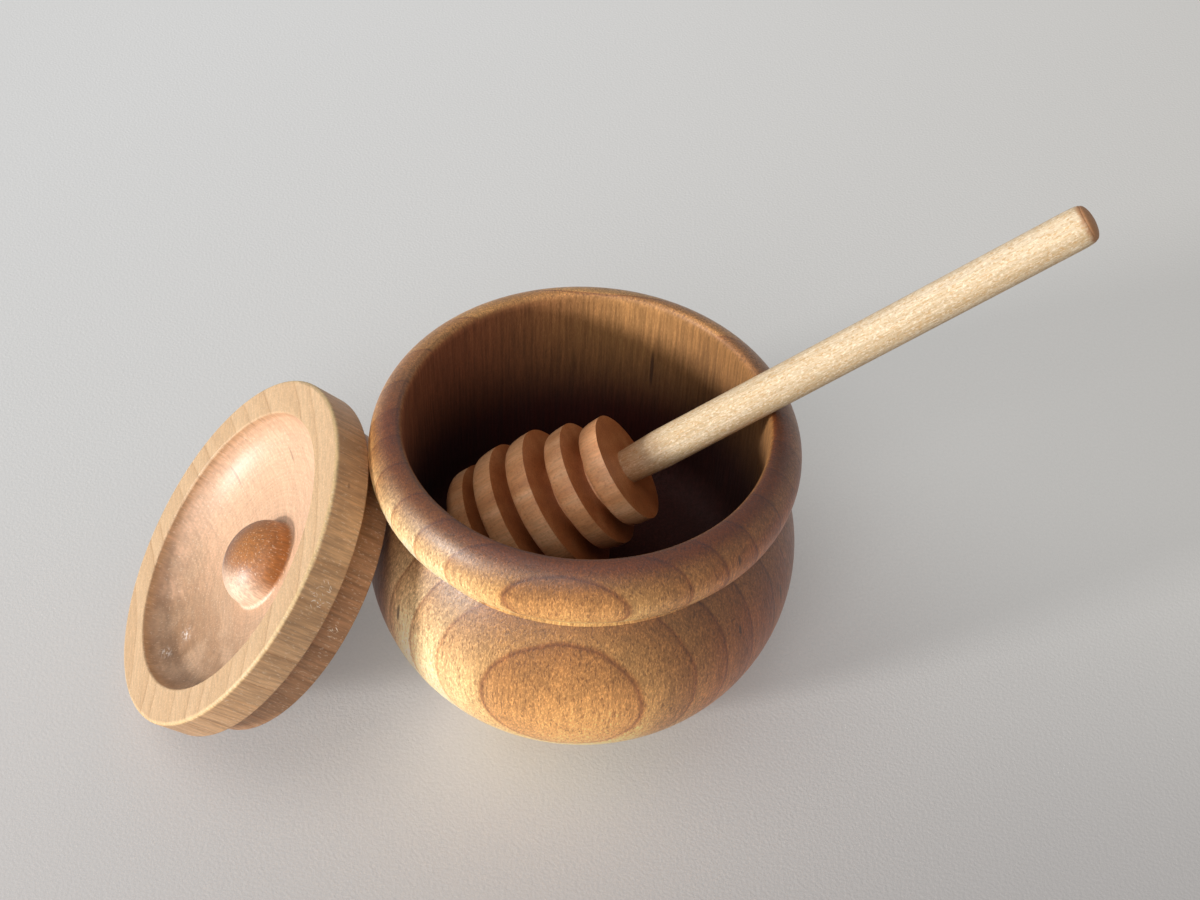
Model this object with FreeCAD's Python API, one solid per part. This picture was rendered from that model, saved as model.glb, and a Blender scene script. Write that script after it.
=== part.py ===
import FreeCAD, Part
import math
import os

# Wooden honey pot: a turned pot, its lid leaning against the side, and a dipper resting inside.
# Millimetres, +Z up. The origin is the centre of the pot's foot, on the table.
# Each piece is a turned one: an outline of radius and height, revolved about its own axis.

Vector = FreeCAD.Vector

# Pot
pot_height = 68.0
ring_radius = 43.4          # widest part of the rounded rim ring
ring_height = 60.3          # height at which the ring is widest
lip_radius = 37.7           # crest of the lip
mouth_radius = 36.4         # straight inner wall
lip_drop = 2.0              # rounding from the crest down into the mouth
ring_fullness = 0.64        # of the curve over the ring; 0.707 is an ellipse, less is flatter
ring_under_depth = 3.6      # how far the ring's underside draws in
ring_under_drop = 6.4
neck_radius = 39.4          # bottom of the groove between ring and belly
belly_radius = 45.0
belly_height = 31.7         # height at which the belly is widest
belly_half_width = 28.7     # half axes of the belly's elliptical section
belly_half_height = 32.5
foot_radius = 27.4
foot_round = 0.6
cavity_floor = 20.2
cavity_corner = 7.0         # radius between the cavity's wall and its floor

# Lid, along its own axis from the flat top face at zero down to the plug's underside
lid_radius = 38.1
lid_under_radius = 37.9
lid_thickness = 8.1
lid_edge_round = 0.8
plug_radius = 33.9
plug_length = 8.1
plug_round = 0.4
dish_radius = 30.5
dish_depth = 9.8
dish_edge_round = 0.4
dish_floor_radius = 11.0    # where the dish turns flat around the knob
knob_radius = 9.4
knob_cove = 0.8             # hollow curve from the dish up into the knob's side
knob_sink = 1.8             # the knob's crown below the top face

# Lid's pose: it leans on the pot with its top face turned away and up
lid_side = 188.5            # direction from the pot's axis to the lid, in degrees
lid_heading = 189.1         # direction its axis points to
lid_rise = 40.6             # how far the lid's axis points above level, in degrees

# Dipper head, along its axis from the face at the handle towards the tip:
# (start, width, radius) of each disc
discs = (
    (0.0, 4.7, 11.7),
    (7.4, 4.5, 13.7),
    (15.0, 4.9, 16.0),
    (22.9, 4.8, 16.5),
    (30.5, 4.8, 15.5),
)
rim_drop = 1.0              # how much a disc's rounded rim loses towards the tip
rim_fullness = 0.9
core_share = 0.55           # radius of the core as a share of the disc beside it
groove_floor_share = 0.5    # width of a groove at its core as a share of its mouth
tip_rim = 2.4               # straight part of the last disc, before the domed tip
tip_length = 4.0            # domed end past the last disc

# Handle
handle_radius = 4.0
handle_length = 103.6       # from the head's face to the far end
handle_end_radius = 3.55    # where the handle enters the head
handle_end_taper = 8.0
handle_rim_radius = 3.6     # edge around the domed far end
handle_rim_taper = 3.5
handle_crown = 1.4          # height of the domed far end
tenon_length = 14.0

# Dipper's pose: the handle lies on the lip and the tip stands on the cavity's floor
dipper_heading = 7.5
dipper_rise = 35.6
dipper_side_step = 0.4      # sideways distance of the handle's axis from the pot's axis

seat_gap = 0.02             # air left between pieces that only rest on each other
seat_tolerance = 0.001


def point(radius, height):
    return Vector(radius, 0, height)


def line(start, end):
    return Part.LineSegment(point(*start), point(*end)).toShape()


def arc(centre, half_width, half_height, start, end):
    """Arc of an upright ellipse or circle; angles in degrees from the outward direction."""
    def at(angle):
        turn = math.radians(angle)
        return point(centre[0] + half_width * math.cos(turn), centre[1] + half_height * math.sin(turn))

    if abs(half_width - half_height) < 1e-6:
        return Part.Arc(at(start), at((start + end) / 2), at(end)).toShape()
    low, high = sorted((start, end))
    middle = point(*centre)
    if half_width > half_height:
        ellipse = Part.Ellipse(middle + point(half_width, 0), middle + point(0, half_height), middle)
        lag = 0
    else:
        ellipse = Part.Ellipse(middle + point(0, half_height), middle - point(half_width, 0), middle)
        lag = 90
    piece = Part.ArcOfEllipse(ellipse, math.radians(low - lag), math.radians(high - lag))
    return piece.toBSpline().toShape()


def bowed(start, corner, end, fullness):
    """Conic curve from start to end, tangent to the two lines that meet at the corner."""
    curve = Part.BezierCurve()
    curve.setPoles([point(*start), point(*corner), point(*end)])
    curve.setWeight(2, fullness)
    return curve.toBSpline().toShape()


def turned(edges):
    """Solid of revolution about Z from the edges of a closed outline."""
    outline = Part.Wire(Part.__sortEdges__(edges))
    return Part.Face(outline).revolve(Vector(0, 0, 0), Vector(0, 0, 1), 360)


def ellipse_angle(reach, half_axis):
    """Angle at which the ellipse is this far out from its centre along one half axis."""
    return math.degrees(math.acos(reach / half_axis))


def pot():
    ring_centre = ring_radius - ring_under_depth
    ring_bottom = ring_height - ring_under_drop
    belly_centre = belly_radius - belly_half_width
    upper = ellipse_angle(neck_radius - belly_centre, belly_half_width)
    lower = -ellipse_angle(foot_radius - belly_centre, belly_half_width)
    belly_top = belly_height + belly_half_height * math.sin(math.radians(upper))
    belly_bottom = belly_height + belly_half_height * math.sin(math.radians(lower))
    corner_radius = mouth_radius - cavity_corner
    return turned([
        line((0, 0), (foot_radius - foot_round, 0)),
        arc((foot_radius - foot_round, foot_round), foot_round, foot_round, -90, 0),
        line((foot_radius, foot_round), (foot_radius, belly_bottom)),
        arc((belly_centre, belly_height), belly_half_width, belly_half_height, lower, upper),
        line((neck_radius, belly_top), (neck_radius, ring_bottom)),
        line((neck_radius, ring_bottom), (ring_centre, ring_bottom)),
        arc((ring_centre, ring_height), ring_under_depth, ring_under_drop, -90, 0),
        bowed((ring_radius, ring_height), (ring_radius, pot_height), (lip_radius, pot_height),
              ring_fullness),
        arc((lip_radius, pot_height - lip_drop), lip_radius - mouth_radius, lip_drop, 90, 180),
        line((mouth_radius, pot_height - lip_drop), (mouth_radius, cavity_floor + cavity_corner)),
        arc((corner_radius, cavity_floor + cavity_corner), cavity_corner, cavity_corner, -90, 0),
        line((corner_radius, cavity_floor), (0, cavity_floor)),
        line((0, cavity_floor), (0, 0)),
    ])


def lid():
    """The lid lying flat: top face at height zero, plug below it."""
    plug_end = -(lid_thickness + plug_length)
    edge = lid_edge_round
    under = 0.5 * lid_edge_round
    wall_top = -edge
    wall_bottom = -lid_thickness + under
    dish_top = -dish_edge_round
    dish_half_width = dish_radius - dish_floor_radius
    knob_foot = knob_cove - dish_depth
    knob_height = -knob_sink - knob_foot
    return turned([
        line((0, plug_end), (plug_radius - plug_round, plug_end)),
        arc((plug_radius - plug_round, plug_end + plug_round), plug_round, plug_round, -90, 0),
        line((plug_radius, plug_end + plug_round), (plug_radius, -lid_thickness)),
        line((plug_radius, -lid_thickness), (lid_under_radius - under, -lid_thickness)),
        arc((lid_under_radius - under, wall_bottom), under, under, -90, 0),
        line((lid_under_radius, wall_bottom), (lid_radius, wall_top)),
        arc((lid_radius - edge, wall_top), edge, edge, 0, 90),
        line((lid_radius - edge, 0), (dish_radius + dish_edge_round, 0)),
        arc((dish_radius + dish_edge_round, dish_top), dish_edge_round, dish_edge_round, 90, 180),
        arc((dish_floor_radius, dish_top), dish_half_width, dish_depth + dish_top, -90, 0),
        line((dish_floor_radius, -dish_depth), (knob_radius + knob_cove, -dish_depth)),
        arc((knob_radius + knob_cove, knob_foot), knob_cove, knob_cove, 180, 270),
        arc((0, knob_foot), knob_radius, knob_height, 0, 90),
        line((0, -knob_sink), (0, plug_end)),
    ])


def dome():
    """Depth of the domed tip's widest circle below the head's face, its radius and its height."""
    start, width, radius = discs[-1]
    return start + tip_rim, radius, width - tip_rim + tip_length


def dipper_head():
    """The head hanging down: its face at the handle at height zero, the tip below."""
    edges = [line((handle_end_radius, 0), (discs[0][2], 0))]
    for (start, width, radius), following in zip(discs, discs[1:]):
        core = core_share * min(radius, following[2])
        groove_top = -(start + width)
        groove_bottom = -following[0]
        flank = 0.5 * (1 - groove_floor_share) * (groove_top - groove_bottom)
        rim_end = (radius - rim_drop, groove_top)
        edges += [
            bowed((radius, -start), (radius, groove_top), rim_end, rim_fullness),
            line(rim_end, (core, groove_top - flank)),
            line((core, groove_top - flank), (core, groove_bottom + flank)),
            line((core, groove_bottom + flank), (following[2], groove_bottom)),
        ]
    middle, radius, crown = dome()
    edges += [
        line((radius, -discs[-1][0]), (radius, -middle)),
        arc((0, -middle), radius, crown, -90, 0),
        line((0, -middle - crown), (0, -tenon_length)),
        line((0, -tenon_length), (handle_end_radius, -tenon_length)),
        line((handle_end_radius, -tenon_length), (handle_end_radius, 0)),
    ]
    return turned(edges)


def dipper_handle():
    """The handle standing up from the head's face at height zero, its tenon below."""
    shoulder = handle_length - handle_crown
    return turned([
        line((0, -tenon_length), (handle_end_radius, -tenon_length)),
        line((handle_end_radius, -tenon_length), (handle_end_radius, 0)),
        line((handle_end_radius, 0), (handle_radius, handle_end_taper)),
        line((handle_radius, handle_end_taper), (handle_radius, shoulder - handle_rim_taper)),
        bowed((handle_radius, shoulder - handle_rim_taper), (handle_radius, shoulder),
              (handle_rim_radius, shoulder), rim_fullness),
        arc((0, shoulder), handle_rim_radius, handle_crown, 0, 90),
        line((0, handle_length), (0, -tenon_length)),
    ])


def placed(shape, pose):
    shape.Placement = pose
    return shape


def slid_against(piece, target, direction):
    """The piece moved along the direction until only the seat gap is left."""
    room = piece.distToShape(target)[0] - seat_gap
    while room > seat_tolerance:
        piece.Placement.Base += direction * room
        room = piece.distToShape(target)[0] - seat_gap
    return piece


def leaning(rise, heading):
    """Turn that points a piece's own +Z at this rise above level, towards this heading."""
    tip_over = FreeCAD.Rotation(Vector(0, 1, 0), 90 - rise)
    return FreeCAD.Rotation(Vector(0, 0, 1), heading) * tip_over


def leaning_lid(against):
    """The plug's rounded rim stands on the table and leans on the pot."""
    rise = math.radians(lid_rise)
    rim_depth = lid_thickness + plug_length - plug_round
    rim_radius = plug_radius - plug_round
    height = rim_depth * math.sin(rise) + rim_radius * math.cos(rise) + plug_round
    heading = math.radians(lid_side)
    outward = Vector(math.cos(heading), math.sin(heading), 0)
    start = outward * (belly_radius + lid_radius) + Vector(0, 0, height)
    piece = placed(lid(), FreeCAD.Placement(start, leaning(lid_rise, lid_heading)))
    return slid_against(piece, against, -outward)


def lowest_reach():
    """How far the tilted head reaches below the centre of its own face."""
    rise = math.radians(dipper_rise)
    middle, radius, crown = dome()
    return middle * math.sin(rise) + math.hypot(radius * math.cos(rise), crown * math.sin(rise))


def dipper_pose():
    """The head's lowest point meets the cavity's floor and the handle the rounded lip."""
    rise = math.radians(dipper_rise)
    out, up = -math.sin(rise), math.cos(rise)
    lip = math.hypot((lip_radius - mouth_radius) * out, lip_drop * up)
    clear_of_lip = lip + handle_radius + seat_gap
    height = cavity_floor + lowest_reach() + seat_gap
    along = (clear_of_lip + lip_radius * out + (pot_height - lip_drop - height) * up) / out
    heading = math.radians(dipper_heading)
    forward = Vector(math.cos(heading), math.sin(heading), 0)
    sideways = Vector(-math.sin(heading), math.cos(heading), 0)
    centre = forward * along + sideways * dipper_side_step + Vector(0, 0, height)
    return FreeCAD.Placement(centre, leaning(dipper_rise, dipper_heading))


os.makedirs("parts", exist_ok=True)
pot_shape = pot()
nodes = {
    "pot": pot_shape,
    "lid": leaning_lid(pot_shape),
    "dipper_head": placed(dipper_head(), dipper_pose()),
    "dipper_handle": placed(dipper_handle(), dipper_pose()),
}
for name, shape in nodes.items():
    shape.exportStep("parts/" + name + ".step")
    print(name, "valid", shape.isValid(), "volume", round(shape.Volume), "mm3")
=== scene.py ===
import bmesh
import bpy
import math
import random
from mathutils import Matrix, Vector


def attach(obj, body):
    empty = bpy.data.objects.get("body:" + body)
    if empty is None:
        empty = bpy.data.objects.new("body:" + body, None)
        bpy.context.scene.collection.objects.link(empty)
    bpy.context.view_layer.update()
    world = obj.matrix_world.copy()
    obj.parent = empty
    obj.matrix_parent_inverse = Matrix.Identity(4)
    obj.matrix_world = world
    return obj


# Looks of the wooden honey pot: wood materials, torn fibres, floor, light and camera around the
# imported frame. Metres, +Z up, the same frame as the CAD model. Wood figure is laid out in millimetres.

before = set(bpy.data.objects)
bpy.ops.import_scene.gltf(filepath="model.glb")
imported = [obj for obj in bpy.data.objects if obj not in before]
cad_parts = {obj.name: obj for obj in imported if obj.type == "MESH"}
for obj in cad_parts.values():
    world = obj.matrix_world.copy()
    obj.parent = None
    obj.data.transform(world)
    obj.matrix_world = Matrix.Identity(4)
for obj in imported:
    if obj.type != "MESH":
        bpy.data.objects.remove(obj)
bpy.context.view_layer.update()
MM = 0.001

# Sizes of the CAD model that the finishes follow, in millimetres
MOUTH_RADIUS = 36.4
CAVITY_FLOOR = 20.2
LID_WALL_RADIUS = 38.0      # in the middle of the wall's slight taper
LID_THICKNESS = 8.1
PLUG_RADIUS = 33.9
DISH_RADIUS = 30.5
DISH_DEPTH = 9.8
KNOB_RADIUS = 9.4

# Directions in degrees, as rise and heading, of the lid's and the dipper's axes
LID_AXIS = (40.6, 189.1)
DIPPER_AXIS = (35.6, 7.5)


# ---------------------------------------------------------------- node helpers

COAT_ROUGHNESS = 0.45


class Tree:
    """Short calls for building the node tree of a material or of the world."""

    def __init__(self, owner):
        owner.use_nodes = True
        self.nodes = owner.node_tree.nodes
        self.links = owner.node_tree.links
        self.nodes.clear()

    def put(self, socket, value):
        """Links a node's output to a socket, or sets the socket to a plain value."""
        if isinstance(value, bpy.types.NodeSocket):
            self.links.new(value, socket)
        else:
            socket.default_value = value

    def math(self, operation, a, b=0.0):
        node = self.nodes.new("ShaderNodeMath")
        node.operation = operation
        self.put(node.inputs[0], a)
        self.put(node.inputs[1], b)
        return node.outputs[0]

    def times(self, a, b):
        return self.math("MULTIPLY", a, b)

    def vector(self, operation, a, b=(0.0, 0.0, 0.0), output=0):
        node = self.nodes.new("ShaderNodeVectorMath")
        node.operation = operation
        self.put(node.inputs[0], a)
        if operation == "SCALE":
            self.put(node.inputs["Scale"], b)
        elif len(node.inputs) > 1:
            self.put(node.inputs[1], b)
        return node.outputs[output]

    def stretched(self, vector, x, y, z):
        return self.vector("MULTIPLY", vector, (x, y, z))

    def length(self, vector):
        return self.vector("LENGTH", vector, output=1)

    def mapped(self, vector, rotation, scale):
        node = self.nodes.new("ShaderNodeMapping")
        self.put(node.inputs["Vector"], vector)
        node.inputs["Rotation"].default_value = rotation
        node.inputs["Scale"].default_value = scale
        return node.outputs[0]

    def noise(self, vector, scale, detail=2.0, roughness=0.5, output=0):
        node = self.nodes.new("ShaderNodeTexNoise")
        self.put(node.inputs["Vector"], vector)
        node.inputs["Scale"].default_value = scale
        node.inputs["Detail"].default_value = detail
        node.inputs["Roughness"].default_value = roughness
        return node.outputs[output]

    def between(self, value, low, high, to_low=0.0, to_high=1.0, smooth=True):
        """Maps low and high to two values, with no overshoot, and with a soft start and end if smooth."""
        node = self.nodes.new("ShaderNodeMapRange")
        node.interpolation_type = "SMOOTHSTEP" if smooth else "LINEAR"
        self.put(node.inputs["Value"], value)
        node.inputs["From Min"].default_value = low
        node.inputs["From Max"].default_value = high
        node.inputs["To Min"].default_value = to_low
        node.inputs["To Max"].default_value = to_high
        return node.outputs[0]

    def ramp(self, value, stops):
        """Colour ramp through (position, grey or colour) stops."""
        node = self.nodes.new("ShaderNodeValToRGB")
        self.put(node.inputs[0], value)
        elements = node.color_ramp.elements
        while len(elements) < len(stops):
            elements.new(1.0)
        for element, (position, colour) in zip(elements, stops):
            element.position = position
            element.color = (colour,) * 3 + (1,) if isinstance(colour, float) else (*colour, 1)
        return node.outputs[0]

    def by_mask(self, mask, outside, inside):
        """One amount where the mask is zero, another where it is one."""
        return self.between(mask, 0.0, 1.0, outside, inside, smooth=False)

    def mix(self, factor, a, b, blend="MIX"):
        node = self.nodes.new("ShaderNodeMix")
        node.data_type = "RGBA"
        node.blend_type = blend
        self.put(node.inputs["Factor"], factor)
        colour_a = [s for s in node.inputs if s.name == "A" and s.type == "RGBA"][0]
        colour_b = [s for s in node.inputs if s.name == "B" and s.type == "RGBA"][0]
        self.put(colour_a, (*a, 1) if isinstance(a, tuple) else a)
        self.put(colour_b, (*b, 1) if isinstance(b, tuple) else b)
        return [s for s in node.outputs if s.type == "RGBA"][0]

    def parts(self, vector):
        """X, Y and Z of a vector."""
        node = self.nodes.new("ShaderNodeSeparateXYZ")
        self.put(node.inputs[0], vector)
        return node.outputs[0], node.outputs[1], node.outputs[2]

    def shaded(self, colour, amount):
        """The colour times a grey amount or another colour."""
        return self.mix(1.0, colour, amount, "MULTIPLY")

    def tinted(self, factor, colour, tone):
        """Multiplies the colour by a tone, as far as the factor says."""
        return self.mix(factor, colour, self.shaded(colour, tone))

    def mix_shaders(self, factor, a, b):
        node = self.nodes.new("ShaderNodeMixShader")
        for socket, value in zip(node.inputs, (factor, a, b)):
            self.put(socket, value)
        return node.outputs[0]

    def eye_rays(self):
        """One for rays from the camera and for reflected and refracted ones, zero for the rest."""
        path = self.nodes.new("ShaderNodeLightPath")
        seen = self.math("MAXIMUM", path.outputs["Is Camera Ray"], path.outputs["Is Glossy Ray"])
        return self.math("MAXIMUM", seen, path.outputs["Is Transmission Ray"])

    def normal(self):
        return self.nodes.new("ShaderNodeNewGeometry").outputs["Normal"]

    def wood_shader(self, colour, roughness, bump_height, bump_depth, coat=0.0, gloss=0.45):
        shader = self.nodes.new("ShaderNodeBsdfPrincipled")
        self.put(shader.inputs["Base Color"], colour)
        self.put(shader.inputs["Roughness"], roughness)
        shader.inputs["Specular IOR Level"].default_value = gloss
        self.put(shader.inputs["Coat Weight"], coat)
        shader.inputs["Coat Roughness"].default_value = COAT_ROUGHNESS
        bump = self.nodes.new("ShaderNodeBump")
        bump.inputs["Strength"].default_value = 1.0
        bump.inputs["Distance"].default_value = bump_depth
        self.put(bump.inputs["Height"], bump_height)
        self.put(shader.inputs["Normal"], bump.outputs[0])
        output = self.nodes.new("ShaderNodeOutputMaterial")
        self.put(output.inputs["Surface"], shader.outputs[0])


# ---------------------------------------------------------------- wood figure

def srgb(red, green, blue):
    """Linear colour of an sRGB one given in 0 to 255."""
    def linear(value):
        value /= 255
        return value / 12.92 if value <= 0.04045 else ((value + 0.055) / 1.055) ** 2.4
    return linear(red), linear(green), linear(blue)


def wood_place(tree, centre=(0, 0, 0), axes=Matrix.Identity(3)):
    """Millimetres from the centre, in a frame whose Z runs along the wood's fibres."""
    texture = tree.nodes.new("ShaderNodeTexCoord")
    moved = tree.vector("SUBTRACT", texture.outputs["Object"], tuple(centre))
    return tree.mapped(moved, axes.to_euler("XYZ"), (1 / MM,) * 3)


def warped(tree, place, size, amount):
    """The place pushed about by a slow noise, so that rings and fibres wander."""
    push = tree.vector("SUBTRACT", tree.noise(place, 1 / size, 2, output=1), (0.5, 0.5, 0.5))
    return tree.vector("ADD", place, tree.vector("SCALE", push, amount))


def fibres(tree, place, width, length, detail=3.0):
    """Noise drawn out along the fibres."""
    return tree.noise(tree.stretched(place, 1, 1, width / length), 1 / width, detail, 0.6)


def from_axis(tree, place):
    """Distance from the piece's own axis."""
    return tree.length(tree.stretched(place, 1, 1, 0))


def contrast(tree, noise, at_low, at_high):
    """A noise's usual range, 0.3 to 0.7, spread between two amounts."""
    return tree.between(noise, 0.3, 0.7, at_low, at_high)


# Millimetres outwards from a ring, the tone there, and how much the ring's strength adds to it
RING_PROFILE = (
    (-0.3, 0.3, 0.2),           # its dark line sets in
    (0.0, 0.62, 0.38),          # the line itself
    (0.45, 0.02, 0.0),          # palest wood, just outside the line
    (2.4, 0.12, 0.0),           # the pale band ends
)
FIRST_TONE = 0.3
LAST_TONE = 0.55
LEAD_IN = 8.0                   # mm of wood before the first ring
RUN_OUT = 12.0                  # mm of wood after the last


def ring_ramp(tree, distance, start, end, rings):
    """Tone between two distances: a thin dark line at each ring, a pale band outside it, then darker."""
    span = end - start
    stops = [(0.0, FIRST_TONE)]
    for reach, strength in rings:
        for step, tone, gain in RING_PROFILE:
            stops.append(((reach + step - start) / span, tone + gain * strength))
    stops.append((1.0, LAST_TONE))
    return tree.ramp(tree.math("DIVIDE", tree.math("SUBTRACT", distance, start), span), stops)


def growth_rings(tree, place, trunk, rings, middle):
    """Tone across the growth rings, which are cylinders about the trunk; a ramp holds 7 rings at most."""
    distance = from_axis(tree, tree.vector("SUBTRACT", place, trunk))
    near = [ring for ring in rings if ring[0] < middle]
    far = [ring for ring in rings if ring[0] > middle]
    near_tone = ring_ramp(tree, distance, near[0][0] - LEAD_IN, middle, near)
    far_tone = ring_ramp(tree, distance, middle, far[-1][0] + RUN_OUT, far)
    return tree.mix(tree.math("GREATER_THAN", distance, middle), near_tone, far_tone)


def blemish(tree, place, centre, size, softness=0.5):
    """One at the centre of a small ellipsoid along the place's axes, falling to zero at its surface."""
    offset = tree.vector("DIVIDE", tree.vector("SUBTRACT", place, centre), size)
    return tree.between(tree.length(offset), 1 - softness, 1.0, 1.0, 0.0)


def wood_tones(tree, tone, stops):
    """Colour ramp from (position, sRGB colour) stops."""
    return tree.ramp(tone, [(position, srgb(*colour)) for position, colour in stops])


def marked(tree, colour, masks, strength, tone):
    """The colour with spots of a tone where the masks are."""
    for mask in masks:
        colour = tree.mix(tree.times(mask, strength), colour, srgb(*tone))
    return colour


# ---------------------------------------------------------------- materials

def new_material(name):
    material = bpy.data.materials.new(name)
    return material, Tree(material)


# Where the trunk's middle lies, and the radius and strength of each ring round it
POT_TRUNK = (-10.5, -199.7, 0.0)
POT_RINGS = (
    (158.7, 0.9), (165.0, 0.5), (171.2, 0.8), (178.0, 0.7), (186.0, 0.8), (193.5, 0.6),
    (201.0, 0.7), (209.0, 0.6), (218.0, 0.7), (228.0, 0.6), (237.0, 0.6),
)
POT_TONES = ((0.0, (220, 166, 98)), (0.5, (196, 136, 74)), (1.0, (140, 82, 42)))
PALEST_POT = (0.9, 0.78, 0.66)  # linear colour that no fleck goes beyond


def pot_wood():
    """Brown satin wood cut from the side of a trunk, so that its rings show as ovals on the front."""
    material, tree = new_material("pot_wood")
    place = wood_place(tree)
    tone = growth_rings(tree, warped(tree, place, 22.0, 2.2), POT_TRUNK, POT_RINGS, 197.0)
    colour = pot_tints(tree, place, wood_tones(tree, tone, POT_TONES))
    cloud = tree.noise(tree.stretched(place, 1, 1, 0.45), 1 / 12.0, 3)
    colour = tree.shaded(colour, contrast(tree, cloud, 0.8, 1.1))
    inside = cavity_mask(tree, place)
    colour = tree.mix(inside, colour, cavity_wood(tree, place))
    fibre = fibres(tree, place, 0.6, 9.0)
    colour = tree.shaded(colour, contrast(tree, fibre, 0.78, 1.16))
    colour, relief = pot_specks(tree, place, colour, inside)
    cracks = [blemish(tree, place, centre, size) for centre, size in CRACKS_OF_POT]
    colour = marked(tree, colour, cracks, 0.75, (48, 26, 16))
    colour = tree.vector("MINIMUM", colour, PALEST_POT)
    roughness = tree.math("ADD", contrast(tree, fibre, 0.5, 0.38), tree.times(inside, 0.35))
    height = tree.math("ADD", tree.times(fibre, 0.5), tree.times(relief, 0.25))
    coat = tree.by_mask(inside, 0.5, 0.0)
    tree.wood_shader(colour, roughness, height, 0.1 * MM, coat=coat, gloss=0.4)
    return material


def pot_tints(tree, place, colour):
    """Painted shade on top, to the right and beside the lid; painted light underneath and at the front
    left.
    """
    across, deep, height_up = tree.parts(place)
    upward = tree.parts(tree.normal())[2]
    # Painted shade on upward faces, strongest at the front; partly the darker end grain of the top.
    painted_top_shade = tree.times(tree.between(upward, -0.2, 0.95), tree.between(deep, 40.0, -5.0, 0.3, 1.0))
    colour = tree.tinted(painted_top_shade, colour, srgb(112, 72, 34))
    # Painted light: faces turned downwards are made paler.
    painted_underside_light = tree.times(tree.between(upward, 0.35, -0.5), 0.95)
    colour = tree.tinted(painted_underside_light, colour, (1.5, 1.55, 1.6))
    # Painted sheen: paler and whiter on the front left, towards the low lamp.
    painted_left_sheen = tree.times(tree.between(across, -12.0, -36.0), tree.between(deep, -6.0, -26.0, 0.0, 0.65))
    colour = tree.tinted(painted_left_sheen, colour, (1.7, 2.5, 4.4))
    # Painted shadow of the lid on the belly's left.
    painted_lid_shadow = tree.times(tree.between(across, -34.0, -41.0), tree.between(height_up, 54.0, 46.0))
    colour = tree.tinted(painted_lid_shadow, colour, srgb(146, 104, 80))
    # Painted light: the lowest, downward faces of the belly are paler still.
    painted_foot_light = tree.between(upward, -0.3, -0.75)
    colour = tree.tinted(painted_foot_light, colour, (1.12, 1.6, 2.4))
    # Darker heartwood on the right, partly painted shade on the side away from the lamps; less on upward
    # faces.
    heartwood_and_shade = tree.times(tree.between(across, 4.0, 40.0), tree.between(upward, 0.2, 0.8, 1.0, 0.3))
    return tree.tinted(heartwood_and_shade, colour, srgb(184, 134, 106))


def pot_specks(tree, place, colour, inside):
    """Pale flecks and dark pores along the fibres, weaker inside, with the relief that they make."""
    outside = tree.math("SUBTRACT", 1.0, tree.times(inside, 0.7))
    flecks = tree.between(fibres(tree, place, 0.34, 0.8, 2.0), 0.48, 0.62)
    colour = tree.tinted(tree.times(flecks, tree.times(outside, 0.5)), colour, (2.0, 2.1, 2.3))
    elsewhere = tree.vector("ADD", place, (40.0, 0.0, 0.0))
    pores = tree.between(fibres(tree, elsewhere, 0.35, 1.8, 2.0), 0.52, 0.68)
    colour = tree.tinted(tree.times(pores, tree.times(outside, 0.6)), colour, srgb(150, 124, 106))
    return colour, tree.math("SUBTRACT", flecks, pores)


def cavity_mask(tree, place):
    """One on the pot's inner wall and floor."""
    near_axis = tree.between(from_axis(tree, place), MOUTH_RADIUS, MOUTH_RADIUS + 0.8, 1.0, 0.0)
    above_floor = tree.between(tree.parts(place)[2], CAVITY_FLOOR - 1.2, CAVITY_FLOOR - 0.4)
    return tree.times(near_axis, above_floor)


def cavity_wood(tree, place):
    """Browner wood, redder on the left, streaked upright, with painted shade making it much darker lower
    down.
    """
    across, _, height_up = tree.parts(place)
    brown = tree.mix(tree.between(across, -30.0, 10.0), srgb(150, 90, 58), srgb(182, 132, 78))
    brown = tree.tinted(tree.between(across, 8.0, 30.0), brown, srgb(200, 194, 184))
    # Painted shade: much darker and redder lower in the cavity.
    brown = tree.mix(tree.between(height_up, 34.0, 71.0), tree.shaded(brown, srgb(84, 34, 22)), brown)
    streaks = fibres(tree, place, 0.8, 50.0)
    return tree.shaded(brown, contrast(tree, streaks, 0.8, 1.12))


def around_pot(radius, degrees, height):
    """Place on the pot, at an angle from the front and positive to the right."""
    turn = math.radians(degrees)
    return radius * math.sin(turn), -radius * math.cos(turn), height


# Centre and half size of each dark crack
CRACKS_OF_POT = (
    (around_pot(44.6, -53.5, 36.5), (0.6, 0.6, 4.0)),
    (around_pot(44.0, 47.0, 43.0), (0.6, 0.6, 6.0)),
    (around_pot(44.5, 67.0, 38.0), (0.5, 0.5, 5.0)),
    (around_pot(43.0, 44.0, 62.0), (0.5, 0.5, 3.0)),
    (around_pot(36.5, 158.0, 50.0), (0.55, 0.55, 7.0)),
)


# The same for the lid, in its own frame: X forwards, Y up the slope, Z out of its face
LID_PITH = (0.0, -95.0, 0.0)
LID_RINGS = [
    (62.0 + 6.6 * i + 1.4 * math.sin(2.3 * i), 0.4 + 0.25 * math.sin(1.7 * i))
    for i in range(11)
]
LID_TONES = ((0.0, (202, 168, 128)), (0.5, (190, 154, 113)), (1.0, (160, 120, 80)))


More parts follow.
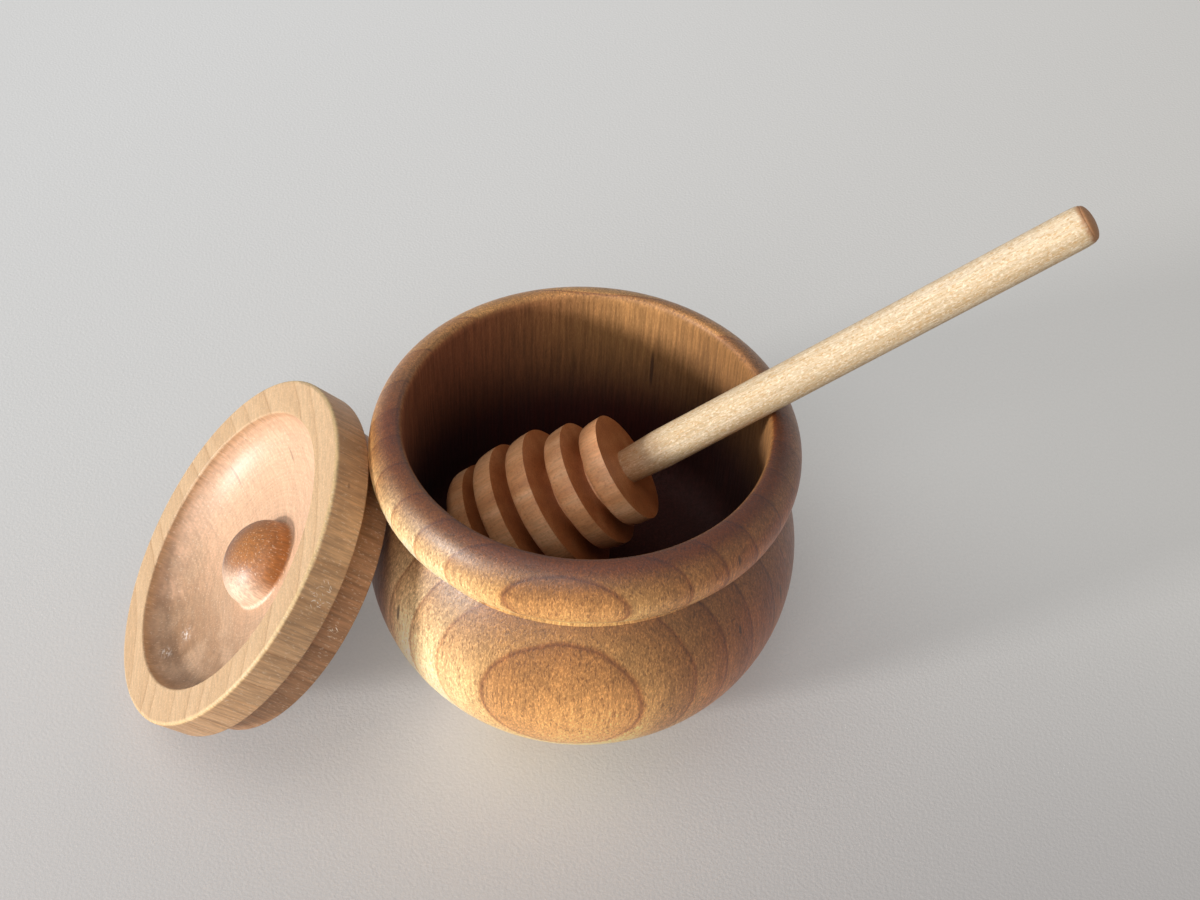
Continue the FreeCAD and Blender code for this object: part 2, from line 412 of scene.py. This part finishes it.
def lid_wood(centre, axes):
    """Pale wood whose end grain shows on the face; the dish and the knob have a brown gloss."""
    material, tree = new_material("lid_wood")
    place = wood_place(tree, centre, axes)
    tone = growth_rings(tree, warped(tree, place, 16.0, 2.0), LID_PITH, LID_RINGS, 97.0)
    colour = wood_tones(tree, tone, LID_TONES)
    wall, oiled = lid_zones(tree, place)
    colour = lid_tints(tree, place, colour, wall)
    colour = tree.mix(oiled, colour, dish_wood(tree, place, colour))
    fibre = fibres(tree, place, 0.5, 9.0)
    swing = tree.times(tree.between(fibre, 0.3, 0.7), tree.by_mask(wall, 0.2, 0.42))
    colour = tree.shaded(colour, tree.math("ADD", tree.by_mask(wall, 0.88, 0.74), swing))
    fine = tree.noise(tree.stretched(place, 0.18, 1, 0.18), 1.5, 3)
    colour = tree.shaded(colour, contrast(tree, fine, 0.9, 1.07))
    knob = tree.between(from_axis(tree, place), KNOB_RADIUS, KNOB_RADIUS + 1.0, 1.0, 0.0)
    colour = tree.mix(knob, colour, knob_wood(tree, place, fibre))
    colour = lid_marks(tree, place, colour, knob)
    height = tree.math("ADD", tree.times(fibre, tree.by_mask(wall, 0.6, 1.6)), tree.times(fine, 0.5))
    tree.wood_shader(colour, tree.by_mask(oiled, 0.64, 0.48), height, 0.06 * MM, coat=0.35, gloss=0.6)
    return material


def lid_zones(tree, place):
    """Masks of all that is below the face, and of the dish with its knob."""
    out = tree.parts(place)[2]
    in_dish = tree.between(from_axis(tree, place), DISH_RADIUS - 0.3, DISH_RADIUS + 0.2, 1.0, 0.0)
    oiled = tree.times(in_dish, tree.between(out, -DISH_DEPTH - 0.8, -DISH_DEPTH - 0.4))
    below_face = tree.between(out, -0.6, -0.2, 1.0, 0.0)
    return tree.times(below_face, tree.math("SUBTRACT", 1.0, oiled)), oiled


def lid_tints(tree, place, colour, wall):
    """Sides a little browner, the plug darker, and a painted yellow highlight round the face's outer rim.
    """
    out = tree.parts(place)[2]
    colour = tree.tinted(wall, colour, srgb(255, 242, 232))
    plug = tree.times(wall, tree.between(out, 0.1 - LID_THICKNESS, -0.3 - LID_THICKNESS))
    colour = tree.tinted(plug, colour, srgb(224, 210, 204))
    # Painted highlight: a thin pale yellow line round the face's outer rim.
    at_rim = tree.between(from_axis(tree, place), LID_WALL_RADIUS - 0.8, LID_WALL_RADIUS - 0.1)
    painted_edge_highlight = tree.times(at_rim, tree.between(out, -0.9, -0.3))
    return tree.mix(tree.times(painted_edge_highlight, 0.5), colour, srgb(226, 196, 136))


def knob_wood(tree, place, fibre):
    """Golden brown, with painted shade on its far side and a painted highlight, a pale crescent, at its
    lower front.
    """
    forward, up_slope, _ = tree.parts(place)
    crown = tree.mix(tree.between(up_slope, -6.0, 5.0), srgb(142, 96, 64), srgb(164, 102, 42))
    # Painted shade on the knob's far side.
    painted_shade_side = tree.math("SUBTRACT", tree.times(forward, -1.0), tree.times(up_slope, 0.5))
    crown = tree.mix(tree.times(tree.between(painted_shade_side, -2.0, 6.0), 0.8), crown, srgb(88, 56, 46))
    # Painted highlight: a pale crescent at the knob's lower front.
    painted_crescent_side = tree.math("SUBTRACT", forward, up_slope)
    crown = tree.mix(tree.times(tree.between(painted_crescent_side, 2.5, 11.5), 0.85), crown, srgb(250, 218, 190))
    return tree.shaded(crown, contrast(tree, fibre, 0.7, 1.2))


def lid_marks(tree, place, colour, knob):
    """Pale flecks all over, painted whitish glints in a few places, and dark cracks."""
    flecks = tree.between(fibres(tree, place, 0.35, 0.9, 1.0), 0.6, 0.74)
    colour = tree.mix(tree.times(flecks, tree.by_mask(knob, 0.3, 0.38)), colour, srgb(250, 232, 206))
    dashes = tree.between(tree.noise(tree.stretched(place, 0.5, 1.3, 1), 1 / 0.45, 1), 0.52, 0.62)
    # Painted glints: short whitish dashes of highlight.
    glints = [tree.times(dashes, blemish(tree, place, *glint, 1.0)) for glint in GLINTS_OF_LID]
    colour = marked(tree, colour, glints, 0.7, (252, 246, 240))
    cracks = [blemish(tree, place, *crack) for crack in CRACKS_OF_LID]
    return marked(tree, colour, cracks, 0.42, (84, 54, 38))


# Centre and half size of each dark crack and of each painted glint, in the lid's own frame
CRACKS_OF_LID = (
    ((-27.0, -4.3, -5.4), (3.2, 0.4, 3.0)),
    ((-19.9, 13.5, -7.4), (2.4, 0.4, 3.0)),
    ((9.3, 36.8, -3.5), (0.8, 0.8, 0.4)),
)
GLINTS_OF_LID = (
    ((7.4, -27.8, -4.3), (2.6, 2.0, 2.0)),
    ((3.3, -24.4, -7.1), (2.8, 1.8, 2.0)),
    ((-2.0, -5.5, -4.0), (5.0, 3.5, 4.0)),
)


def dish_wood(tree, place, colour):
    """Pale peach with fine turning marks above, with painted shade that makes it brown and cloudy at the
    lower front.
    """
    forward, up_slope, _ = tree.parts(place)
    marks = tree.nodes.new("ShaderNodeCombineXYZ")
    tree.put(marks.inputs[0], from_axis(tree, place))
    turned = tree.between(tree.noise(marks.outputs[0], 1 / 0.7, 2), 0.35, 0.65, 0.93, 1.05)
    peach = tree.mix(0.5, tree.shaded(colour, srgb(255, 236, 226)), srgb(226, 190, 162))
    # Painted shade on the dish's lower front, whose slope faces away from the lamps.
    low = tree.math("SUBTRACT", tree.times(forward, 0.75), up_slope)
    cloud = tree.noise(tree.stretched(place, 0.6, 1, 1), 1 / 6.0, 3)
    low = tree.math("ADD", low, tree.between(cloud, 0.3, 0.7, -16.0, 16.0, smooth=False))
    brown = tree.mix(tree.between(cloud, 0.35, 0.65), srgb(156, 118, 84), srgb(192, 156, 124))
    return tree.shaded(tree.mix(tree.between(low, -4.0, 26.0), peach, brown), turned)


HEAD_TONES = ((0.3, (202, 138, 90)), (0.5, (222, 160, 110)), (0.7, (238, 186, 140)))
HANDLE_TONES = ((0.3, (192, 162, 120)), (0.5, (208, 184, 148)), (0.7, (218, 198, 168)))


def head_wood(centre, axes):
    """Warm tan wood, turned along its fibres; the discs' flat faces are browner end grain, partly painted
    shade, and lower parts get painted shade.
    """
    material, tree = new_material("head_wood")
    place = wood_place(tree, centre, axes)
    tone = tree.noise(tree.stretched(place, 1, 1, 0.12), 1 / 5.0, 3)
    colour = wood_tones(tree, tone, HEAD_TONES)
    # The discs' flat faces are browner: end grain, partly painted shade.
    facing = tree.vector("DOT_PRODUCT", tree.normal(), tuple(axes[2]), output=1)
    end_grain_and_shade = tree.between(tree.math("ABSOLUTE", facing), 0.55, 0.92)
    colour = tree.tinted(end_grain_and_shade, colour, srgb(212, 180, 152))
    fibre = fibres(tree, place, 0.4, 3.0)
    colour = tree.shaded(colour, contrast(tree, fibre, 0.87, 1.1))
    specks = tree.between(tree.noise(place, 1 / 0.5, 2), 0.52, 0.68)
    colour = tree.tinted(tree.times(specks, 0.4), colour, srgb(214, 174, 140))
    # Painted shade: the head is darker lower down, where the pot's rim shades it.
    height_up = tree.parts(wood_place(tree))[2]
    colour = tree.tinted(tree.between(height_up, 50.0, 26.0), colour, srgb(190, 140, 110))
    roughness = contrast(tree, fibre, 0.48, 0.36)
    tree.wood_shader(colour, roughness, fibre, 0.05 * MM, coat=0.45, gloss=0.6)
    return material


def handle_wood(centre, axes, length):
    """Pale cream dowel with fine specks along its fibres; both ends are stained brown."""
    material, tree = new_material("handle_wood")
    place = wood_place(tree, centre, axes)
    tone = tree.noise(tree.stretched(place, 1, 1, 0.03), 1 / 2.5, 3)
    colour = wood_tones(tree, tone, HANDLE_TONES)
    specks = tree.between(fibres(tree, place, 0.35, 0.8, 2.0), 0.5, 0.64)
    colour = tree.mix(tree.times(specks, 0.55), colour, srgb(192, 146, 86))
    elsewhere = tree.vector("ADD", place, (30.0, 0.0, 0.0))
    chalk = tree.between(fibres(tree, elsewhere, 0.35, 0.7, 2.0), 0.52, 0.66)
    colour = tree.mix(tree.times(chalk, 0.45), colour, srgb(252, 238, 214))
    fibre = fibres(tree, place, 0.3, 8.0)
    colour = tree.shaded(colour, contrast(tree, fibre, 0.86, 1.08))
    along = tree.parts(warped(tree, place, 1.5, 1.6))[2]
    cap = tree.times(tree.between(along, length - 2.8, length - 1.4), 0.85)
    colour = tree.mix(cap, colour, srgb(158, 104, 62))
    foot = tree.times(tree.between(along, 13.0, 1.0), 0.85)
    colour = tree.tinted(foot, colour, srgb(186, 146, 112))
    tree.wood_shader(colour, 0.58, tree.math("ADD", fibre, tree.times(specks, -0.5)), 0.05 * MM)
    return material


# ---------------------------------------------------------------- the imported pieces

def direction(rise, heading):
    """Unit vector at a rise above level and a heading round from +X, both in degrees."""
    rise, heading = math.radians(rise), math.radians(heading)
    level = math.cos(rise)
    return Vector((math.cos(heading) * level, math.sin(heading) * level, math.sin(rise)))


def axes_towards(rise, heading):
    """Rows of a frame whose Z points at this rise and heading, with X level and Y up the slope."""
    along = direction(rise, heading)
    level = Vector((0, 0, 1)).cross(along).normalized()
    return Matrix((level, along.cross(level), along))


SAME_HEIGHT = 0.02 * MM     # points closer than this along an axis lie on one face


def end_centre(node, along):
    """Centre of the round face that lies furthest along a direction."""
    places = [vertex.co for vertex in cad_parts[node].data.vertices]
    top = max(along.dot(place) for place in places)
    rim = [place for place in places if along.dot(place) > top - SAME_HEIGHT]
    return Vector([(max(values) + min(values)) / 2 for values in zip(*rim)])


def finish_node(node, material):
    """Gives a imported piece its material."""
    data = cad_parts[node].data
    data.materials.clear()
    data.materials.append(material)


lid_axes = axes_towards(*LID_AXIS)
dipper_axes = axes_towards(*DIPPER_AXIS)
lid_centre = end_centre("lid", lid_axes[2])
head_centre = end_centre("dipper_head", dipper_axes[2])
finish_node("pot", pot_wood())
finish_node("lid", lid_wood(lid_centre, lid_axes))
finish_node("dipper_head", head_wood(head_centre, dipper_axes))
handle_tip = end_centre("dipper_handle", dipper_axes[2])
handle_length = (handle_tip - head_centre).length / MM
finish_node("dipper_handle", handle_wood(head_centre, dipper_axes, handle_length))


def new_piece(name, data):
    """Object in the scene, made from a mesh, a lamp or a camera."""
    piece = bpy.data.objects.new(name, data)
    bpy.context.scene.collection.objects.link(piece)
    return piece


BEND_PLACE = 0.55           # where a splinter bends up, as a share of its length
BEND_LIFT = 0.35            # how far it has risen there, as a share of its lift
BEND_WIDTH = 0.75           # how wide it still is there
RIDGE_HEIGHT = 0.4          # of its three-sided section, as a share of its width

# Ranges in millimetres
SPLINTER_LENGTHS = (0.4, 1.3)
SPLINTER_WIDTHS = (0.12, 0.26)
SPLINTER_LIFTS = (0.1, 0.4)
SPLINTER_SLANT = 1.2        # most that one runs sideways, as a share of its way up or down
ROOT_DEPTH = 0.08           # how far its root is sunk into the wood


def splinter(mesh, root, along, outward, length, width, lift):
    """Thin closed sliver that starts flat on a surface and bends away from it towards its tip."""
    side = along.cross(outward).normalized() * width / 2
    middle = root + along * length * BEND_PLACE + outward * lift * BEND_LIFT
    tip = mesh.verts.new(root + along * length + outward * lift)
    sections = []
    for centre, scale in ((root, 1.0), (middle, BEND_WIDTH)):
        ridge = centre + outward * width * RIDGE_HEIGHT * scale
        corners = (centre - side * scale, centre + side * scale, ridge)
        sections.append([mesh.verts.new(corner) for corner in corners])
    first, second = sections
    mesh.faces.new(first)
    for i in range(3):
        mesh.faces.new((first[i], second[i], second[(i + 1) % 3], first[(i + 1) % 3]))
        mesh.faces.new((second[i], tip, second[(i + 1) % 3]))


def torn_fibres(centre, axes, radius, spread, heights, count, draw):
    """Slivers torn up from the lid's turned wall, between two angles and two heights."""
    mesh = bmesh.new()
    to_world = axes.transposed()
    for _ in range(count):
        angle = math.radians(draw.uniform(*spread))
        outward = to_world @ Vector((math.cos(angle), math.sin(angle), 0))
        around = to_world @ Vector((-math.sin(angle), math.cos(angle), 0))
        root = centre + (outward * (radius - ROOT_DEPTH) + axes[2] * draw.uniform(*heights)) * MM
        up_or_down = axes[2] * draw.choice((-1, 1))
        along = (up_or_down + around * draw.uniform(-SPLINTER_SLANT, SPLINTER_SLANT)).normalized()
        ranges = (SPLINTER_LENGTHS, SPLINTER_WIDTHS, SPLINTER_LIFTS)
        size = [draw.uniform(*limits) * MM for limits in ranges]
        splinter(mesh, root, along, outward, *size)
    bmesh.ops.recalc_face_normals(mesh, faces=mesh.faces)
    return mesh


def add_torn_fibres(name, material, *where):
    """One piece that holds a group of slivers and rides with the pot."""
    mesh = torn_fibres(lid_centre, lid_axes, *where)
    data = bpy.data.meshes.new(name)
    mesh.to_mesh(data)
    mesh.free()
    piece = new_piece(name, data)
    data.materials.append(material)
    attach(piece, "root")


FIBRE_TONES = ((0.3, (214, 186, 150)), (0.7, (250, 240, 226)))


def pale_fibre():
    """Whitish raw wood with a little brown along it."""
    material, tree = new_material("pale_fibre")
    streak = tree.noise(wood_place(tree, lid_centre, lid_axes), 1 / 0.6, 2)
    tree.wood_shader(wood_tones(tree, streak, FIBRE_TONES), 0.6, streak, 0.01 * MM)
    return material


# Radius, angles in degrees, heights along the lid's axis, and how many splinters
WALL_TEAR = (LID_WALL_RADIUS, (38.5, 46.0), (-6.6, -0.6), 34)
PLUG_TEAR = (PLUG_RADIUS, (30.0, 35.0), (-15.6, -11.5), 12)
SEED = 11

draw = random.Random(SEED)
fibre_material = pale_fibre()
add_torn_fibres("lid_torn_wall", fibre_material, *WALL_TEAR, draw)
add_torn_fibres("lid_torn_plug", fibre_material, *PLUG_TEAR, draw)


# ---------------------------------------------------------------- floor, light and camera

SURROUND = (206, 206, 204)  # sRGB colour of everything far away
FLOOR_REACH = 4.0           # metres each way
FLOOR_DROP = 0.05 * MM      # air below the pot's foot
SLANT_REACH = 260.0         # mm each way over which the floor's grey changes
FADE = (350.0, 850.0)       # mm from the pot over which the floor turns into the surround

FILL_COLOUR = (1.0, 0.99, 0.98)
FILL_STRENGTH = 0.24

# Name, heading, rise and width in the sky in degrees, strength, colour
LAMPS = (
    ("window", 208.0, 9.5, 7.5, 3.4, (1.0, 0.98, 0.965)),
    ("sky", 252.0, 36.0, 32.0, 0.9, (1.0, 0.98, 0.98)),
    ("above", 200.0, 72.0, 40.0, 0.53, (1.0, 0.99, 0.98)),
)

CAMERA_PLACE = (0, -0.25298, 0.3184)
CAMERA_DOWN = 45.757        # degrees below level
CAMERA_YAW = -0.665         # degrees about +Z from looking along +Y
CAMERA_ROLL = 3.094         # degrees anticlockwise, as seen from behind it
LENS = 54
SENSOR_WIDTH = 36


def floor():
    """Pale table that reaches out to where it has the surround's colour."""
    corners = ((-1, -1), (1, -1), (1, 1), (-1, 1))
    mesh = bpy.data.meshes.new("floor")
    mesh.from_pydata([(x * FLOOR_REACH, y * FLOOR_REACH, -FLOOR_DROP) for x, y in corners], [],
                     [(0, 1, 2, 3)])
    piece = new_piece("floor", mesh)
    mesh.materials.append(floor_paper())


def floor_paper():
    """Matt paper with painted light fall-off, from a paler cool grey on the far left to a darker warm
    beige nearby.
    """
    material, tree = new_material("floor_paper")
    place = wood_place(tree)
    across, deep, _ = tree.parts(place)
    # Painted light fall-off: paler on the far left, darker to the right.
    painted_falloff = tree.math("ADD", across, tree.times(deep, -0.6))
    painted_falloff = tree.between(painted_falloff, -SLANT_REACH, SLANT_REACH, smooth=False)
    colour = tree.mix(painted_falloff, srgb(234, 234, 234), srgb(224, 221, 217))
    # Painted fall-off: a little darker nearby, at the front.
    warm = tree.between(deep, -90.0, 60.0, 1.0, 0.0)
    colour = tree.tinted(tree.times(warm, 0.9), colour, srgb(236, 233, 232))
    # Painted fall-off: darker still towards the right.
    painted_falloff_right = tree.between(across, -60.0, 260.0)
    colour = tree.tinted(painted_falloff_right, colour, (0.87, 0.87, 0.86))
    grit = tree.noise(place, 1 / 0.7, 3)
    colour = tree.shaded(colour, contrast(tree, grit, 0.97, 1.02))
    tree.wood_shader(colour, 0.85, grit, 0.08 * MM)
    paler_to_the_eye(tree, painted_falloff, warm, across, tree.length(place))
    return material


def paler_to_the_eye(tree, painted_falloff, warm, across, away):
    """Mixes in a pale glow that only the camera and reflections see; the object's shadow stays."""
    output = [node for node in tree.nodes if node.type == "OUTPUT_MATERIAL"][0]
    lit = output.inputs["Surface"].links[0].from_socket
    # Painted light fall-off in the glow: paler far left, darker beside the pot and to its right.
    right = tree.between(across, -150.0, 60.0)
    near = tree.mix(right, srgb(214, 211, 209), srgb(158, 157, 158))
    colour = tree.mix(warm, tree.mix(painted_falloff, srgb(216, 217, 216), srgb(198, 196, 192)), near)
    colour = tree.mix(tree.between(away, *FADE), colour, srgb(*SURROUND))
    glow = tree.nodes.new("ShaderNodeEmission")
    tree.put(glow.inputs["Color"], colour)
    beside_pot = tree.between(away, 55.0, 120.0, 0.26, 0.46)
    share = tree.math("ADD", tree.between(away, *FADE, 0.0, 0.54), beside_pot)
    mixed = tree.mix_shaders(tree.times(tree.eye_rays(), share), lit, glow.outputs[0])
    tree.put(output.inputs["Surface"], mixed)


def distant_lamp(name, heading, rise, spread, strength, colour):
    """Far lamp that lights the object from this heading and rise, as wide in the sky as its spread."""
    data = bpy.data.lights.new(name, "SUN")
    data.angle = math.radians(spread)
    data.energy = strength
    data.color = colour
    piece = new_piece(name, data)
    piece.rotation_euler = direction(rise, heading).to_track_quat("Z", "Y").to_euler()


def background(tree, colour, strength):
    node = tree.nodes.new("ShaderNodeBackground")
    node.inputs["Color"].default_value = (*colour, 1)
    node.inputs["Strength"].default_value = strength
    return node.outputs[0]


def daylight():
    """A low window on the left, soft light from above it and a weak even fill."""
    for lamp in LAMPS:
        distant_lamp(*lamp)
    world = bpy.data.worlds.new("fill")
    bpy.context.scene.world = world
    tree = Tree(world)
    fill = background(tree, FILL_COLOUR, FILL_STRENGTH)
    surround = background(tree, srgb(*SURROUND), 1.0)
    output = tree.nodes.new("ShaderNodeOutputWorld")
    tree.put(output.inputs["Surface"], tree.mix_shaders(tree.eye_rays(), fill, surround))


def camera():
    """Looks down on the pot from the front, at 46 degrees."""
    down, yaw, roll = (math.radians(angle) for angle in (CAMERA_DOWN, CAMERA_YAW, CAMERA_ROLL))
    forward = Matrix.Rotation(yaw, 3, "Z") @ Vector((0, math.cos(down), -math.sin(down)))
    right = forward.cross(Vector((0, 0, 1))).normalized()
    turn = Matrix.Rotation(-roll, 3, forward)
    right, up = turn @ right, turn @ right.cross(forward)
    data = bpy.data.cameras.new("camera")
    data.lens = LENS
    data.sensor_width = SENSOR_WIDTH
    piece = new_piece("camera", data)
    axes = Matrix((right, up, -forward)).transposed()
    piece.matrix_world = Matrix.Translation(CAMERA_PLACE) @ axes.to_4x4()
    bpy.context.scene.camera = piece


floor()
daylight()
camera()
bpy.context.scene.view_settings.view_transform = "Standard"
